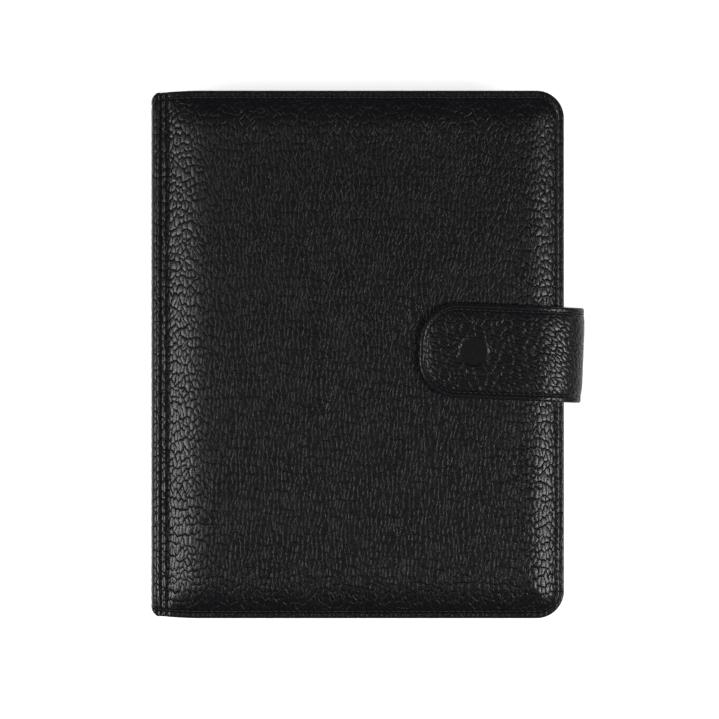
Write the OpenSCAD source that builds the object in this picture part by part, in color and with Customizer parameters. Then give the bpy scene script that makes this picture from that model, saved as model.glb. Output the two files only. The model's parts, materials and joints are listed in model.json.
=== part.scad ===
// Ring-binder organiser cover in pebbled leather, closed and lying on its back
// cover. X runs from the spine to the fore edge, Y along the spine, Z up through
// the closed book. The origin is the middle of the back cover's outer face.
// All sizes are millimetres.

/* [Cover] */
// Height of the cover, along the spine
cover_h = 230; // [226:1:240]
// Width from the outer face of the spine to the fore edge
cover_w = 180; // [178:1:190]
// Closed thickness, outer face to outer face
closed_t = 42; // [42:1:48]
// Radius of the two fore-edge corners
corner_r = 12; // [8:1:16]
// Width of the padding's slope, from the seam in to the flat crown
slope_w = 9; // [6:1:12]

/* [Rings] */
// Inside diameter of a closed ring
ring_id = 20; // [18:1:20]
// Diameter of the ring wire
wire_d = 2.8; // [2.4:0.2:2.8]
// Pitch of the three rings in a group
ring_pitch = 19; // [19:1:19]
// Distance between the two groups' inner rings
group_gap = 70; // [70:1:70]

/* [Strap] */
// Width of the closing strap
strap_w = 41.5; // [34:0.5:44]
// How far the strap's bend stands out past the fore edge
strap_out = 8.8; // [7:0.1:12]
// Length of strap that lies on the front cover
strap_lap = 63.3; // [55:0.1:70]
// Small turn of the strap in the plane of the cover, degrees
strap_turn = -2.2; // [-3:0.1:3]

/* [Pockets] */
// Number of card pockets in the front cover
card_pockets = 4; // [2:1:4]
// Step between two card pockets' mouths
card_step = 15; // [12:1:18]
// Inside radius of the pen loop
pen_r = 5.3; // [4.5:0.1:5.5]

/* [Hidden] */
$fn = 48;
HULL_FN = 32;
EPS = 0.01;

// Layers of a padded panel, as depths from its outer face
leather_t = 1.2;
padding_end = 3.2;
board_end = 4.4;
panel_t = 5.2;
seam_drop = 2.2;
seam_w = 5;
lining_inset = 1.5;

// Folds: each axis lies this far in from the spine's and the panel's outer faces
fold_in = 5;
fold_gap = 0.15;
web_t = 1.2;
panel_start = 3;
fold_x = -cover_w / 2 + fold_in;
fore_x = cover_w / 2;

// Spine
spine_h = cover_h - 2;
spine_board_t = 2;
spine_lining_t = 0.8;
spine_x = -cover_w / 2;
inner_x = spine_x + leather_t + spine_board_t + spine_lining_t;
spine_mid_z = closed_t / 2;

// Ring mechanism, in its own plane: u away from the spine, v across it
wire_r = wire_d / 2;
loop_r = ring_id / 2 + wire_r;
loop_u = loop_r + 2.8;
loop_end = 150;
leg_v = loop_r * sin(loop_end) - 0.1;
plate_half = 9.1;
plate_h = 4.9;
plate_wall = 0.9;
plate_power = 3;
plate_l = 182;
plate_steps = 14;
blade_t = 1;
blade_l = 178;
blade_nose_l = 183;
blade_nose_v = 4.6;
pivot_u = 1.4;
pivot_v = 7.3;
bead_r = 0.65;
rivet_y = 82;
rivet_r = 1.5;
ring_y = [for (side = [-1, 1], k = [0:2]) side * (group_gap / 2 + k * ring_pitch)];
RINGS = len(ring_y);

// Opening levers
lever_y = 94.4;
lever_u = 2.4;
lever_half = 5.2;
lever_pin_r = 0.95;
lever_bore_r = 1;
lever_t = 1.4;
lever_reach = 10.5;
lever_angle = 50;
lever_tab_w = 2.4;
lever_tab_reach = 4.2;
lever_tab_t = 0.6;

// Strap: a C-shaped band, seen along the spine
strap_t = 3;
strap_core_start = 1.3;
strap_core_end = 2.2;
strap_lift = 1.5;
strap_top_z = closed_t + strap_lift + strap_t;
strap_low_z = seam_drop;
strap_x = fore_x + strap_out;
top_bend_r = 12;
low_bend_r = 8;
low_bend = [strap_x - low_bend_r, strap_low_z + low_bend_r];
top_bend = [strap_x - top_bend_r, strap_top_z - top_bend_r];
tip_x = fore_x - strap_lap;
tip_r = 17;
tail_l = 3.8;
snap_x = 49;
snap_y = 1.4;

// Press stud
stud_flange_r = 5;
stud_flange_t = 0.6;
stud_r = 1.9;
stud_top_z = closed_t + 2.6;
post_r = 1.4;
socket_r = 5.5;
socket_bore_r = 2.3;
cap_r = 6;
cap_t = 0.5;
cap_shank_r = 3;
cap_shank_bore_r = 2.4;

// Pockets and pen loop
pocket_t = 0.7;
card_t = 0.6;
slip_x0 = -48;
card_x0 = -26;
card_w = 96;
card_low_y = -101;
card_top_y = 22;
notepad_x0 = -44;
notepad_x1 = 71;
notepad_top_y = 56;
loop_wall = 1;
pen_x = 82;
pen_y0 = 62;
pen_l = 38;
pen_tab_x0 = 61;
pen_z = panel_t + pen_r + loop_wall;

card_names = [for (k = [1:card_pockets]) str("card_pocket_", k)];
front_ring_names = [for (k = [1:RINGS]) str("front_ring_", k)];
back_ring_names = [for (k = [1:RINGS]) str("back_ring_", k)];

// Colours
hide = [0.07, 0.07, 0.08];
smooth_hide = [0.1, 0.1, 0.11];
foam = [0.75, 0.73, 0.68];
greyboard = [0.55, 0.52, 0.47];
nickel = [0.75, 0.75, 0.77];
core = [0.35, 0.27, 0.2];

// ---------------------------------------------------------------- panels

// Plan outline of a cover panel, taken in by inset on every side
module panel_outline(inset) {
  x0 = fold_x + panel_start + inset;
  x1 = fore_x - inset;
  y1 = cover_h / 2 - inset;
  r = max(corner_r - inset, 1);
  translate([x0, -y1]) square([x1 - r - x0, 2 * y1]);
  translate([x1 - r - EPS, r - y1]) square([r + EPS, 2 * (y1 - r)]);
  for (side = [-1, 1]) translate([x1 - r, side * (y1 - r)]) circle(r);
}

// A slab of the panel between two depths
module panel_slab(inset, z0, z1) {
  translate([0, 0, z0]) linear_extrude(z1 - z0) panel_outline(inset);
}

// The padding's crowned form: wide at low_z, narrower by slope_w at high_z
module crown(inset, high_z, low_z) {
  hull() {
    translate([0, 0, high_z]) linear_extrude(EPS)
      panel_outline(inset + slope_w, $fn = HULL_FN);
    translate([0, 0, low_z - EPS]) linear_extrude(EPS)
      panel_outline(inset, $fn = HULL_FN);
  }
}

// The leather skin's thin web, which reaches from the panel to the fold axis
module fold_web() {
  translate([0, spine_h / 2, 0]) rotate([90, 0, 0]) linear_extrude(spine_h)
    polygon([
      [fold_x + fold_gap, fold_in],
      [fold_x + fold_gap + web_t, fold_in - web_t],
      [fold_x + panel_start + EPS, fold_in - web_t],
      [fold_x + panel_start + EPS, board_end],
      [fold_x + panel_start - 1, fold_in]]);
}

module outer_leather() {
  color(hide) union() {
    difference() {
      union() {
        panel_slab(0, seam_drop, board_end);
        crown(seam_w - 1, 0, seam_drop + EPS);
      }
      crown(seam_w, leather_t, padding_end);
      panel_slab(seam_w, padding_end - EPS, board_end + EPS);
    }
    fold_web();
  }
}

module padding() {
  color(foam) crown(seam_w, leather_t, padding_end);
}

module stiff_board() {
  color(greyboard) panel_slab(seam_w, padding_end, board_end);
}

module lining() {
  color(smooth_hide) panel_slab(lining_inset, board_end, panel_t);
}

// Places the front cover's parts, which are drawn like the back cover's
module on_front() {
  translate([0, 0, closed_t]) mirror([0, 0, 1]) children();
}

module back_leather() {
  difference() {
    outer_leather();
    strap_turned() strap_tail();
  }
}

module front_leather() {
  difference() {
    on_front() outer_leather();
    snap_axis(closed_t - 2) cylinder(h = 3, r = post_r);
  }
}

module front_padding() {
  difference() {
    on_front() padding();
    snap_axis(closed_t - leather_t - stud_flange_t)
      cylinder(h = stud_flange_t + 1, r = stud_flange_r);
  }
}

// ---------------------------------------------------------------- pockets

module slip_pocket() {
  color(smooth_hide) on_front() intersection() {
    panel_slab(lining_inset + 1, panel_t, panel_t + pocket_t);
    translate([slip_x0, -cover_h, 0]) cube([cover_w, 2 * cover_h, closed_t]);
  }
}

// Card pocket k counts from the lining outwards, each with a lower mouth
module card_pocket(k) {
  top = card_top_y - (k - 1) * card_step;
  z = panel_t + pocket_t + (k - 1) * card_t;
  color(smooth_hide) on_front()
    translate([card_x0, card_low_y, z]) cube([card_w, top - card_low_y, card_t]);
}

module notepad_pocket() {
  color(smooth_hide) intersection() {
    panel_slab(lining_inset + 1, panel_t, panel_t + pocket_t);
    translate([notepad_x0, -cover_h, 0])
      cube([notepad_x1 - notepad_x0, cover_h + notepad_top_y, closed_t]);
  }
}

module pen_loop() {
  color(smooth_hide) translate([0, pen_y0 + pen_l, 0]) rotate([90, 0, 0])
    linear_extrude(pen_l) difference() {
      union() {
        translate([pen_x, pen_z]) circle(pen_r + loop_wall);
        translate([pen_tab_x0, panel_t]) square([pen_x - pen_tab_x0, loop_wall]);
      }
      translate([pen_x, pen_z]) circle(pen_r);
    }
}

// ---------------------------------------------------------------- spine

// One rounded shoulder of the spine, a quarter turn's half round a fold axis
module shoulder() {
  intersection() {
    circle(fold_in);
    polygon([[0, 0], [-2 * fold_in, 0], [-2 * fold_in, 2 * fold_in]]);
  }
}

module spine_section() {
  translate([spine_x, fold_in]) square([leather_t, closed_t - 2 * fold_in]);
  for (top = [0, 1])
    translate([fold_x, top ? closed_t - fold_in : fold_in]) mirror([0, 1 - top])
      intersection() {
        shoulder();
        translate([-2 * fold_in, -EPS]) square([2 * fold_in - fold_gap, 2 * fold_in]);
      }
}

module spine_leather() {
  color(hide) translate([0, spine_h / 2, 0]) rotate([90, 0, 0])
    linear_extrude(spine_h) spine_section();
}

// A flat layer of the spine between two X positions
module spine_layer(x0, x1, short) {
  z0 = fold_in + 0.4;
  translate([x0, short - spine_h / 2, z0])
    cube([x1 - x0, spine_h - 2 * short, closed_t - 2 * z0]);
}

module spine_board() {
  color(greyboard) difference() {
    spine_layer(spine_x + leather_t, inner_x - spine_lining_t, 5);
    spine_rivets();
  }
}

module spine_lining() {
  color(smooth_hide) difference() {
    spine_layer(inner_x - spine_lining_t, inner_x, 1);
    spine_rivets();
  }
}

// ---------------------------------------------------------------- ring mechanism

// Takes the mechanism's own u, v plane to the spine: u along X, v along Z
module on_spine(y) {
  translate([inner_x, y, spine_mid_z]) rotate([90, 0, 0]) children();
}

function plate_u(v, half, height) =
  height * pow(max(1 - pow(abs(v) / half, plate_power), 0), 1 / plate_power);

module plate_arch(half, height) {
  polygon(concat(
    [[0.1, -half]],
    [for (k = [0:plate_steps])
      let (v = -half * cos(180 * k / plate_steps))
        [max(plate_u(v, half, height), 0.1), v]]));
}

module ring_base_plate() {
  color(nickel) difference() {
    union() {
      on_spine(plate_l / 2) linear_extrude(plate_l) {
        difference() {
          plate_arch(plate_half, plate_h);
          translate([-EPS, 0]) plate_arch(plate_half - plate_wall, plate_h - plate_wall);
        }
        for (side = [-1, 1])
          translate([0.1, side > 0 ? pivot_v - 0.8 : -plate_half + 0.5])
            square([0.5, plate_half - pivot_v + 0.3]);
      }
      for (end = [-1, 1], side = [-1, 1]) lever_ear(end, side);
    }
    for (y = ring_y, side = [-1, 1])
      translate([inner_x + 1, y - 1.75, spine_mid_z + (side > 0 ? 3.9 : -8.1)])
        cube([plate_h, 3.5, 4.2]);
    for (end = [-1, 1]) {
      on_spine(end * rivet_y) rotate([0, 90, 0]) cylinder(h = plate_h + 1, r = rivet_r);
      lever_pin(end, lever_pin_r);
    }
  }
}

module lever_ear(end, side) {
  reach = lever_y - plate_l / 2 + 2;
  translate([inner_x + 0.3, end > 0 ? plate_l / 2 - 1.5 : -plate_l / 2 + 1.5 - reach - 1.5,
             spine_mid_z + (side > 0 ? lever_half + 0.2 : -lever_half - 1.2)])
    cube([3.9, reach + 1.5, 1]);
}

module lever_pin(end, r) {
  translate([inner_x + lever_u, end * lever_y, spine_mid_z - lever_half - 1.5])
    cylinder(h = 2 * lever_half + 3, r = r);
}

module lever_pins() {
  color(nickel) for (end = [-1, 1]) lever_pin(end, lever_pin_r);
}

// Section of a lever in its u, y plane, for the end towards +Y
module lever_section() {
  difference() {
    union() {
      circle(lever_bore_r + 0.9);
      rotate(90 - lever_angle) translate([0, -lever_t / 2]) square([lever_reach, lever_t]);
      rotate(90 - lever_angle) translate([lever_reach, 0]) circle(lever_t / 2 + 0.3);
    }
    circle(lever_bore_r);
  }
}

// The lever's short tab reaches under both blades and lifts them
module lever_tab() {
  difference() {
    translate([-2.2, -lever_tab_reach]) square([lever_tab_t, lever_tab_reach]);
    circle(lever_bore_r);
  }
}

module lever(end) {
  color(nickel)
    translate([inner_x + lever_u, end * lever_y, spine_mid_z - lever_half])
      mirror([0, end > 0 ? 0 : 1, 0]) difference() {
        union() {
          linear_extrude(2 * lever_half) lever_section();
          translate([0, 0, lever_half - lever_tab_w / 2])
            linear_extrude(lever_tab_w) lever_tab();
        }
        // the thumb end's two corners are rounded off
        for (low = [0, 1]) translate([0, 0, lever_half + (low ? -1 : 1) * lever_half])
          lever_corner(low);
      }
}

// What is cut off one corner of a lever's thumb end
module lever_corner(low) {
  r = 3;
  rotate(90 - lever_angle) rotate([90, 0, 0]) translate([lever_reach + 1 - r, 0, -5])
    linear_extrude(10) mirror([0, low ? 0 : 1]) difference() {
      translate([0, -EPS]) square([r + 1, r]);
      translate([0, r]) circle(r);
    }
}

module spine_rivets() {
  color(nickel) for (end = [-1, 1])
    translate([spine_x + leather_t, end * rivet_y, spine_mid_z]) rotate([0, 90, 0]) {
      cylinder(h = 0.5, r = 3.5);
      cylinder(h = inner_x - spine_x - leather_t + plate_h, r = rivet_r);
      translate([0, 0, inner_x - spine_x - leather_t + plate_h]) cylinder(h = 0.8, r1 = 3, r2 = 2);
    }
}

// Blade on the side given: 1 is towards the front cover, -1 towards the back
module blade(side) {
  color(nickel) difference() {
    union() {
      on_spine(blade_l / 2) linear_extrude(blade_l) mirror([0, side > 0 ? 0 : 1]) {
        translate([pivot_u - blade_t / 2, 0.1]) square([blade_t, pivot_v - 0.1]);
        translate([pivot_u, pivot_v]) circle(bead_r);
      }
      // the nose passes between the base plate's ears to meet the lever's tab
      on_spine(blade_nose_l / 2) linear_extrude(blade_nose_l) mirror([0, side > 0 ? 0 : 1])
        translate([pivot_u - blade_t / 2, 0.1]) square([blade_t, blade_nose_v - 0.1]);
    }
    for (end = [-1, 1])
      on_spine(end * rivet_y) rotate([0, 90, 0]) cylinder(h = 4, r = rivet_r + 0.7);
    for (y = ring_y) ring_foot(y, side);
  }
}

// Straight foot of a ring half, staked into its blade
module ring_foot(y, side) {
  translate([inner_x + pivot_u - blade_t / 2, y, spine_mid_z + side * leg_v])
    rotate([0, 90, 0]) cylinder(h = loop_u - loop_r * cos(180 - loop_end) + 0.9 - pivot_u + blade_t / 2,
                                r = wire_r);
}

module ring_half(k, side) {
  y = ring_y[k - 1];
  color(nickel) union() {
    translate([inner_x + loop_u, y, spine_mid_z]) rotate([90, 0, 0])
      mirror([0, side > 0 ? 0 : 1, 0])
        rotate_extrude(angle = loop_end) translate([loop_r, 0]) circle(wire_r);
    ring_foot(y, side);
  }
}

// ---------------------------------------------------------------- strap

// Turns the strap a little about the press stud
module strap_turned() {
  translate([snap_x, snap_y, 0]) rotate([0, 0, strap_turn]) translate([-snap_x, 0, 0])
    children();
}

// Everything inside the strap's outer surface, in by d, as an X, Z section
module strap_inside(d) {
  x1 = strap_x - d;
  z0 = strap_low_z + d;
  z1 = strap_top_z - d;
  translate([0, z0]) square([low_bend.x, low_bend.y - z0 + EPS]);
  translate([0, low_bend.y]) square([x1, top_bend.y - low_bend.y]);
  translate([0, top_bend.y - EPS]) square([top_bend.x, z1 - top_bend.y + EPS]);
  translate(low_bend) circle(low_bend_r - d);
  translate(top_bend) circle(top_bend_r - d);
}

module strap_layer(d0, d1) {
  difference() {
    strap_inside(d0);
    strap_inside(d1);
  }
}

// The three lengths of the strap meet on the 45 degree lines of its bends
module root_zone() {
  g = fold_gap;
  polygon([[fore_x - 2, low_bend.y], [low_bend.x - g, low_bend.y - g],
           [low_bend.x + 20 - g, low_bend.y - 20 - g], [fore_x - 2, low_bend.y - 20]]);
}

module side_zone() {
  g = fold_gap;
  polygon([low_bend + [g, g], low_bend + [20 + g, g - 20],
           top_bend + [20 + g, 20 - g], top_bend + [g, -g]]);
}

module tongue_zone() {
  g = fold_gap;
  polygon([top_bend + [-g, g], top_bend + [20 - g, 20 + g],
           [0, top_bend.y + 20 + g], [0, top_bend.y + g]]);
}

module across_strap() {
  translate([0, strap_w / 2, 0]) rotate([90, 0, 0]) linear_extrude(strap_w) children();
}

module strap_part(d0, d1, zone) {
  strap_turned() across_strap() intersection() {
    strap_layer(d0, d1);
    if (zone == "root") root_zone();
    if (zone == "side") side_zone();
    if (zone == "tongue") tongue_zone();
  }
}

// The strap's first length, which starts square to the cover's fore edge
module root_part(d0, d1) {
  difference() {
    strap_part(d0, d1, "root");
    translate([0, -strap_w, -EPS]) cube([fore_x + fold_gap, 2 * strap_w, closed_t]);
  }
}

// Plan outline of the tongue, with its rounded tip
module tongue_outline() {
  translate([tip_x + tip_r, -strap_w / 2]) square([strap_lap + strap_out, strap_w]);
  translate([tip_x, tip_r - strap_w / 2]) square([tip_r + EPS, strap_w - 2 * tip_r]);
  for (side = [-1, 1]) translate([tip_x + tip_r, side * (strap_w / 2 - tip_r)]) circle(tip_r);
}

module tongue_part(d0, d1) {
  intersection() {
    strap_part(d0, d1, "tongue");
    strap_turned() linear_extrude(2 * closed_t) tongue_outline();
  }
}

// The strap's skived tail, sewn into the back cover's fore-edge seam
module strap_tail() {
  translate([fore_x - tail_l, 2 - strap_w / 2, strap_low_z + strap_core_start])
    cube([tail_l + fold_gap + 1, strap_w - 4, strap_core_end - strap_core_start]);
}

module strap_root_core() {
  color(core) union() {
    root_part(strap_core_start, strap_core_end);
    strap_turned() strap_tail();
  }
}

// ---------------------------------------------------------------- press stud

module snap_axis(z) {
  translate([snap_x, snap_y, z]) children();
}

module snap_stud() {
  color(nickel) difference() {
    union() {
      snap_axis(closed_t) cylinder(h = stud_flange_t, r = stud_flange_r - 0.4);
      snap_axis(closed_t) cylinder(h = stud_top_z - closed_t, r = stud_r);
      snap_axis(stud_top_z - 0.8) cylinder(h = 0.5, r = stud_r + 0.2);
    }
    snap_axis(closed_t - EPS) cylinder(h = 1.6, r = post_r);
  }
}

module snap_post() {
  color(nickel) union() {
    snap_axis(closed_t - leather_t - stud_flange_t) cylinder(h = stud_flange_t, r = stud_flange_r);
    snap_axis(closed_t - leather_t - EPS) cylinder(h = leather_t + 1.5, r = post_r);
  }
}

module snap_socket() {
  low_z = closed_t + stud_flange_t + 0.05;
  color(nickel) difference() {
    snap_axis(low_z) cylinder(h = closed_t + strap_lift - low_z, r = socket_r);
    snap_axis(low_z - 1) cylinder(h = 3, r = socket_bore_r);
  }
}

module cap_form(extra) {
  disc_z = strap_top_z - strap_core_start - cap_t;
  snap_axis(disc_z) cylinder(h = cap_t + extra, r = cap_r);
  snap_axis(closed_t + strap_lift - extra)
    cylinder(h = disc_z - closed_t - strap_lift + 2 * extra, r = cap_shank_r);
}

module snap_cap() {
  color(nickel) difference() {
    cap_form(0);
    snap_axis(closed_t + strap_lift - 1) cylinder(h = 2.3, r = cap_shank_bore_r);
  }
}

module strap_tongue_core() {
  color(core) difference() {
    tongue_part(strap_core_start, strap_core_end);
    cap_form(EPS);
  }
}

module strap_tongue_lining() {
  color(smooth_hide) difference() {
    tongue_part(strap_core_end, strap_t);
    cap_form(EPS);
  }
}

// ---------------------------------------------------------------- nodes

back_leather();
padding();  // back_padding
stiff_board();  // back_board
lining();  // back_lining
notepad_pocket();
pen_loop();
color(hide) root_part(0, strap_core_start);  // strap_root_outer
strap_root_core();
color(smooth_hide) root_part(strap_core_end, strap_t);  // strap_root_lining
spine_leather();
spine_board();
spine_lining();
ring_base_plate();
spine_rivets();
lever_pins();
front_leather();
front_padding();
on_front() stiff_board();  // front_board
on_front() lining();  // front_lining
slip_pocket();
for (k = [1:card_pockets]) card_pocket(k);
snap_stud();
snap_post();
blade(1);  // front_blade
blade(-1);  // back_blade
for (k = [1:RINGS]) ring_half(k, 1);
for (k = [1:RINGS]) ring_half(k, -1);
lever(1);  // top_lever
lever(-1);  // bottom_lever
color(hide) strap_part(0, strap_core_start, "side");  // strap_side_outer
color(core) strap_part(strap_core_start, strap_core_end, "side");  // strap_side_core
color(smooth_hide) strap_part(strap_core_end, strap_t, "side");  // strap_side_lining
color(hide) tongue_part(0, strap_core_start);  // strap_tongue_outer
strap_tongue_core();
strap_tongue_lining();
snap_cap();
snap_socket();
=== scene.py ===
import json
import math
from types import SimpleNamespace

import bmesh
import bpy
import numpy as np
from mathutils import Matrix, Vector

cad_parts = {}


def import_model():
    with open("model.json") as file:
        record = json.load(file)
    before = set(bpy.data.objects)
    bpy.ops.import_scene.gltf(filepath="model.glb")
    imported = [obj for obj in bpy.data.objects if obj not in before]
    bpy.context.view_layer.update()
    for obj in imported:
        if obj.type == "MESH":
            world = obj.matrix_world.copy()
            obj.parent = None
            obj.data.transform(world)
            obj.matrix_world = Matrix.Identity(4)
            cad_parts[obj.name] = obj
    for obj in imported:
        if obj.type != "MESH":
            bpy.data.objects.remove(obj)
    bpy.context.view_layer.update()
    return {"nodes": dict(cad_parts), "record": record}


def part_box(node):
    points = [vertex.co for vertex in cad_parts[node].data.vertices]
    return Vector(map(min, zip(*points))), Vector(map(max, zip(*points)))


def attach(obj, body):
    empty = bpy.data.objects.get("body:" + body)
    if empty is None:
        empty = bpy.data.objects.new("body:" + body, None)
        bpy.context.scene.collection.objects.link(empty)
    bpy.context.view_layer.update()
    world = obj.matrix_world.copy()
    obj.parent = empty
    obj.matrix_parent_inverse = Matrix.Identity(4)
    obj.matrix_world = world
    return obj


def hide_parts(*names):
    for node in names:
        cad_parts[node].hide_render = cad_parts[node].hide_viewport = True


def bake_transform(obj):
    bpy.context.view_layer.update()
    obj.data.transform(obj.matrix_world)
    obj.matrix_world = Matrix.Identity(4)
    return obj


# A closed six-ring organiser cover in pebbled leather, seen from straight above.
# Shapes are worked out in millimetres in the frame's axes and made in metres.

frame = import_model()
MM = 0.001


def box_mm(node):
    low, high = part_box(node)
    return np.array(low) / MM, np.array(high) / MM


def joint_facts(name):
    return next(j for j in frame["record"]["behaviour"]["joints"] if j["name"] == name)


def metres(*values):
    return tuple(v * MM for v in values)


# ------------------------------------------------------------------ sizes, mm

front_high = box_mm("front_leather")[1]
spine_low, spine_high = box_mm("spine_leather")
CLOSED_T = front_high[2]
MID_Z = CLOSED_T / 2
HALF_H = front_high[1]
FORE_X = front_high[0]
SPINE_X = spine_low[0]
# The visible faces of the spine's and the back cover's linings
INNER_X = box_mm("spine_lining")[1][0]
LINING_Z = box_mm("back_lining")[1][2]
FOLD_X, _, FOLD_Z = (v / MM for v in joint_facts("front_fold")["pos_m"])
CORNER_R = 12

SPINE_HALF_H = spine_high[1] - 0.3
SPINE_CORNER_R = 3.4
SPINE_TAPER = 20
LEATHER_T = 0.75
LINING_T = 0.7
LINING_INSET = 1.5
STITCH_PITCH = 2.55
STITCH_SHARE = 0.86
SEAM_INSET = 3.0

# Strap, before its small turn about the press stud
SNAP = (box_mm("snap_stud")[0] + box_mm("snap_stud")[1]) / 2
SWING_AXIS = joint_facts("strap_swing")["axis"]
STRAP_TURN = -math.atan2(SWING_AXIS[0], SWING_AXIS[1])
STRAP_HALF_W = 20.75
STRAP_T = 3.0
STRAP_LEATHER_T = 1.1
STRAP_LINING_INSET = 1.3
STRAP_TOP_Z = box_mm("strap_tongue_outer")[1][2]
STRAP_LOW_Z = box_mm("strap_root_outer")[0][2]
STRAP_X = 98.8
STRAP_TIP_X = 26.7
STRAP_TIP_R = 17
TOP_BEND_R = (22, 12)
LOW_BEND_R = 8
EMBLEM_X = 50.5
EMBLEM_R = 6.4
EMBLEM_DEPTH = 0.34

# The grain: pebbles to the mm along and across the hide, how far in from a pebble's edge
# its crease and its dome reach, in pebbles, how the pebbles' rows wander, as pairs of
# (pattern scale, reach in mm), and how deep the grain is
PEBBLES_PER_MM = (0.54, 0.27, 0.0)
PEBBLE_RANDOMNESS = 0.95
CREASE_W = 0.13
DOME_W = 0.42
WANDER = ((0.42, (1.1, 1.3, 0.0)), (0.1, (2.6, 3.6, 0.0)))
COVER_GRAIN = 0.13
STRAP_GRAIN = 0.12
# The strap's hide is cut from elsewhere on the skin, at an angle
STRAP_HIDE_PLACE = (240.0, 37.0)
STRAP_HIDE_TURN = ((0.6, 0.8), (-0.8, 0.6))

SHARP_ANGLE = math.radians(62)

# ------------------------------------------------------------------ node trees


def socket(node, name):
    """The input of that name that is in use, since some nodes have several"""
    return next(s for s in node.inputs if s.name == name and s.enabled)


def add_node(tree, kind, inputs=None, **settings):
    node = tree.nodes.new(kind)
    for name, value in settings.items():
        setattr(node, name, value)
    for name, value in (inputs or {}).items():
        target = node.inputs[name] if isinstance(name, int) else socket(node, name)
        if isinstance(value, bpy.types.NodeSocket):
            tree.links.new(value, target)
        else:
            target.default_value = value
    return node


def maths(tree, operation, *values):
    return add_node(tree, "ShaderNodeMath", dict(enumerate(values)),
                    operation=operation).outputs[0]


def vector_maths(tree, operation, *values):
    return add_node(tree, "ShaderNodeVectorMath", dict(enumerate(values)),
                    operation=operation).outputs[0]


def ramp(tree, value, low, high, to_low=0.0, to_high=1.0, smooth=True):
    node = add_node(tree, "ShaderNodeMapRange",
                    {0: value, 1: low, 2: high, 3: to_low, 4: to_high},
                    interpolation_type="SMOOTHSTEP" if smooth else "LINEAR")
    return node.outputs[0]


def cell_edges(tree, vector, randomness):
    """Distance to the nearest cell edge, in cells"""
    node = add_node(tree, "ShaderNodeTexVoronoi",
                    {"Vector": vector, "Scale": 1.0, "Randomness": randomness},
                    voronoi_dimensions="2D", feature="DISTANCE_TO_EDGE")
    return node.outputs["Distance"]


def noise(tree, vector, scale, detail, kind="3D"):
    return add_node(tree, "ShaderNodeTexNoise",
                    {"Vector": vector, "Scale": scale, "Detail": detail},
                    noise_dimensions=kind)


def pebble_cells(tree, sheet):
    """Distance to the nearest crease between the grain's pebbles, in pebbles. sheet is in
    mm on the hide; the same nodes shape the mesh and the material, so that they agree."""
    place = sheet
    for scale, amount in WANDER:
        wobble = noise(tree, sheet, scale, 1.0, "2D").outputs["Color"]
        wobble = vector_maths(tree, "SUBTRACT", wobble, (0.5, 0.5, 0.5))
        wobble = vector_maths(tree, "MULTIPLY", wobble, amount)
        place = vector_maths(tree, "ADD", place, wobble)
    return cell_edges(tree, vector_maths(tree, "MULTIPLY", place, PEBBLES_PER_MM),
                      PEBBLE_RANDOMNESS)


def pebble_dome(tree, cells):
    """The rounded part of a pebble, coarse enough for the mesh"""
    return ramp(tree, cells, 0.0, DOME_W)


def measure_grain(sheet):
    """The pebbled grain's height at each point of an (n, 2) array on the hide"""
    tree = bpy.data.node_groups.new("measure_grain", "GeometryNodeTree")
    tree.interface.new_socket("Geometry", in_out="INPUT", socket_type="NodeSocketGeometry")
    tree.interface.new_socket("Geometry", in_out="OUTPUT", socket_type="NodeSocketGeometry")
    entry = tree.nodes.new("NodeGroupInput")
    leave = tree.nodes.new("NodeGroupOutput")
    position = tree.nodes.new("GeometryNodeInputPosition").outputs[0]
    height = pebble_dome(tree, pebble_cells(tree, position))
    store = add_node(tree, "GeometryNodeStoreNamedAttribute",
                     {"Geometry": entry.outputs[0], "Name": "height", "Value": height},
                     data_type="FLOAT", domain="POINT")
    tree.links.new(store.outputs[0], leave.inputs[0])
    mesh = bpy.data.meshes.new("measure_grain")
    mesh.vertices.add(len(sheet))
    points = np.zeros((len(sheet), 3), np.float32)
    points[:, :2] = sheet
    mesh.vertices.foreach_set("co", points.ravel())
    probe = bpy.data.objects.new("measure_grain", mesh)
    bpy.context.scene.collection.objects.link(probe)
    probe.modifiers.new("measure", "NODES").node_group = tree
    evaluated = probe.evaluated_get(bpy.context.evaluated_depsgraph_get())
    heights = np.zeros(len(sheet), np.float32)
    evaluated.data.attributes["height"].data.foreach_get("value", heights)
    bpy.data.objects.remove(probe)
    bpy.data.meshes.remove(mesh)
    bpy.data.node_groups.remove(tree)
    return heights


# ------------------------------------------------------------------ materials


def new_material(name):
    material = bpy.data.materials.new(name)
    material.use_nodes = True
    tree = material.node_tree
    shader = tree.nodes["Principled BSDF"]
    return material, tree, shader


def place_mm(tree):
    """The point in the piece's own space, in mm"""
    place = tree.nodes.new("ShaderNodeTexCoord").outputs["Object"]
    return add_node(tree, "ShaderNodeVectorMath", {0: place, "Scale": 1000.0},
                    operation="SCALE").outputs[0]


def mix_colour(tree, factor, first, second):
    return add_node(tree, "ShaderNodeMix", {0: factor, 6: first, 7: second},
                    data_type="RGBA").outputs[2]


def bump(tree, height, distance_mm, strength=1.0, normal=None):
    inputs = {"Height": height, "Distance": distance_mm * MM, "Strength": strength}
    if normal is not None:
        inputs["Normal"] = normal
    return add_node(tree, "ShaderNodeBump", inputs).outputs[0]


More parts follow.
